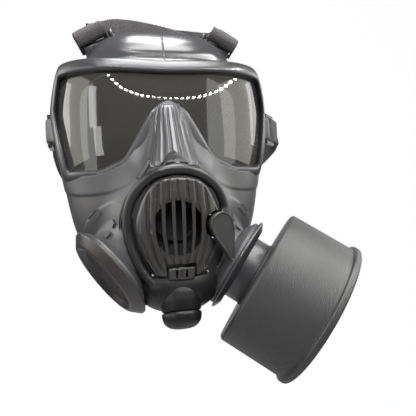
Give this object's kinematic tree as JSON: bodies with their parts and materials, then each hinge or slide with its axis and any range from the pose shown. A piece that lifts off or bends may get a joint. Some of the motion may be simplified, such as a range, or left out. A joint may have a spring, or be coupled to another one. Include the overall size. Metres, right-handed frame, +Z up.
{
  "type": "full face respirator",
  "caption": "Full face respirator: rubber mask, panoramic lens, front voice and outlet module, drinking tube and lever, cheek canister, blanking cap and head harness.",
  "frame": {"origin": "middle of the face opening, in the vertical plane 14 mm in front of its rear edge, level with the lower edge of the lens", "axes": "+Z up, the mask looks along -Y, +X is the wearer's left; +Y points into the mask opening towards the wearer's head"},
  "size_m": [0.2338, 0.2209, 0.3],
  "materials": {
    "rubber_black": "satin moulded rubber",
    "rubber_soft": "soft matt silicone",
    "gasket": "matt",
    "valve_silicone": "thin translucent silicone",
    "lens_clear": "clear polymer, slightly smoky",
    "plastic_module": "satin moulded",
    "plastic_inner": "satin",
    "plastic_gloss": "glossy",
    "film": "thin film",
    "canister_grey": "fine layer lines",
    "carbon": "granular",
    "filter_paper": "pleated glass fibre paper",
    "cap_fabric": "knit",
    "webbing": "woven elastic webbing",
    "buckle_plastic": "satin"
  },
  "bodies": {
    "mask": {"adapter_flange": "plastic_gloss", "brow_band": "webbing", "drink_coupling": "plastic_module", "drink_tube": "rubber_black", "eyelens": "lens_clear", "eyelens_rim": "rubber_black", "face_seal": "rubber_soft", "facepiece": "rubber_black", "front_module_body": "plastic_module", "front_module_cover": "plastic_module", "head_cap": "cap_fabric", "inlet_housing_l": "plastic_gloss", "inlet_housing_r": "plastic_gloss", "inlet_nut_l": "plastic_inner", "inlet_nut_r": "plastic_inner", "inlet_valve_seat_l": "plastic_inner", "inlet_valve_seat_r": "plastic_inner", "module_gasket": "gasket", "neck_strap_l": "webbing", "neck_strap_r": "webbing", "nosecup": "rubber_soft", "nosecup_valve_seat_l": "plastic_inner", "nosecup_valve_seat_r": "plastic_inner", "outlet_valve_seat": "plastic_inner", "temple_strap_l": "webbing", "temple_strap_r": "webbing", "voicemitter_diaphragm": "film", "voicemitter_ring": "plastic_inner"},
    "buckle_top_l": {"buckle_top_l": "buckle_plastic", "strap_loop_top_l": "webbing"},
    "buckle_top_r": {"buckle_top_r": "buckle_plastic", "strap_loop_top_r": "webbing"},
    "buckle_temple_l": {"buckle_temple_l": "buckle_plastic", "strap_loop_temple_l": "webbing"},
    "buckle_temple_r": {"buckle_temple_r": "buckle_plastic", "strap_loop_temple_r": "webbing"},
    "buckle_neck_l": {"buckle_neck_l": "buckle_plastic", "strap_loop_neck_l": "webbing"},
    "buckle_neck_r": {"buckle_neck_r": "buckle_plastic", "strap_loop_neck_r": "webbing"},
    "lever": {"drink_lever": "plastic_module", "internal_drink_tube": "plastic_inner"},
    "latch": {"cover_latch": "plastic_module"},
    "coupling_cap": {"coupling_cap": "rubber_black"},
    "blanking_cap": {"blanking_cap": "plastic_gloss"},
    "canister": {"canister_shell": "canister_grey", "canister_lid": "canister_grey", "canister_gasket": "gasket", "sorbent_bed": "carbon", "particulate_filter": "filter_paper", "grille_inner": "plastic_inner", "grille_middle": "plastic_inner"},
    "inlet_disc_l": {"inlet_valve_disc_l": "valve_silicone"},
    "nosecup_disc_l": {"nosecup_valve_disc_l": "valve_silicone"},
    "inlet_disc_r": {"inlet_valve_disc_r": "valve_silicone"},
    "nosecup_disc_r": {"nosecup_valve_disc_r": "valve_silicone"},
    "outlet_disc": {"outlet_valve_disc": "valve_silicone"}
  },
  "joints": [
    {"name": "drink_lever_turn", "type": "hinge", "parent": "mask", "child": "lever", "pos_m": [0.0265, -0.087, -0.041], "axis": [0.2599, -0.9656, 0], "range_deg": [-90, 0]},
    {"name": "cover_latch_flex", "type": "hinge", "parent": "mask", "child": "latch", "pos_m": [0, -0.085, -0.0665], "axis": [1, 0, 0], "range_deg": [0, 6], "stiffness_Nm_per_rad": 0.05},
    {"name": "coupling_cap_pull", "type": "slide", "parent": "mask", "child": "coupling_cap", "axis": [0, -0.3, -0.9539], "range_m": [0, 0.016]},
    {"name": "blanking_cap_turn", "type": "hinge", "parent": "mask", "child": "blanking_cap", "pos_m": [-0.0467, -0.0508, -0.073], "axis": [-0.7779, -0.313, -0.5449], "range_deg": [0, 45]},
    {"name": "canister_unscrew", "type": "hinge", "parent": "mask", "child": "canister", "pos_m": [0.0467, -0.0508, -0.073], "axis": [0.7779, -0.313, -0.5449], "range_deg": [0, 360]},
    {"name": "inlet_valve_lift_l", "type": "slide", "parent": "mask", "child": "inlet_disc_l", "axis": [-0.7779, 0.313, 0.5449], "range_m": [0, 0.0014], "stiffness_N_per_m": 15},
    {"name": "inlet_valve_lift_r", "type": "slide", "parent": "mask", "child": "inlet_disc_r", "axis": [0.7779, 0.313, 0.5449], "range_m": [0, 0.0014], "stiffness_N_per_m": 15},
    {"name": "outlet_valve_lift", "type": "slide", "parent": "mask", "child": "outlet_disc", "axis": [0, -1, 0], "range_m": [0, 0.0014], "stiffness_N_per_m": 15},
    {"name": "nosecup_valve_lift_l", "type": "slide", "parent": "mask", "child": "nosecup_disc_l", "axis": [-1, 0, 0], "range_m": [0, 0.0009], "stiffness_N_per_m": 15},
    {"name": "nosecup_valve_lift_r", "type": "slide", "parent": "mask", "child": "nosecup_disc_r", "axis": [1, 0, 0], "range_m": [0, 0.0009], "stiffness_N_per_m": 15},
    {"name": "buckle_swing_top_l", "type": "hinge", "parent": "mask", "child": "buckle_top_l", "pos_m": [0.052, -0.002, 0.1085], "axis": [0.866, 0, -0.5], "range_deg": [-10, 10]},
    {"name": "buckle_swing_top_r", "type": "hinge", "parent": "mask", "child": "buckle_top_r", "pos_m": [-0.052, -0.002, 0.1085], "axis": [-0.866, 0, -0.5], "range_deg": [-10, 10]},
    {"name": "buckle_swing_temple_l", "type": "hinge", "parent": "mask", "child": "buckle_temple_l", "pos_m": [0.096, 0.006, 0.0405], "axis": [0, 0, 1], "range_deg": [-15, 15]},
    {"name": "buckle_swing_temple_r", "type": "hinge", "parent": "mask", "child": "buckle_temple_r", "pos_m": [-0.093, 0.011, 0.0405], "axis": [0, 0, 1], "range_deg": [-15, 15]},
    {"name": "buckle_swing_neck_l", "type": "hinge", "parent": "mask", "child": "buckle_neck_l", "pos_m": [0.0645, 0.023, -0.06], "axis": [0.2212, 0, 0.9752], "range_deg": [-15, 15]},
    {"name": "buckle_swing_neck_r", "type": "hinge", "parent": "mask", "child": "buckle_neck_r", "pos_m": [-0.0645, 0.023, -0.06], "axis": [-0.2212, 0, 0.9752], "range_deg": [-15, 15]}
  ]
}
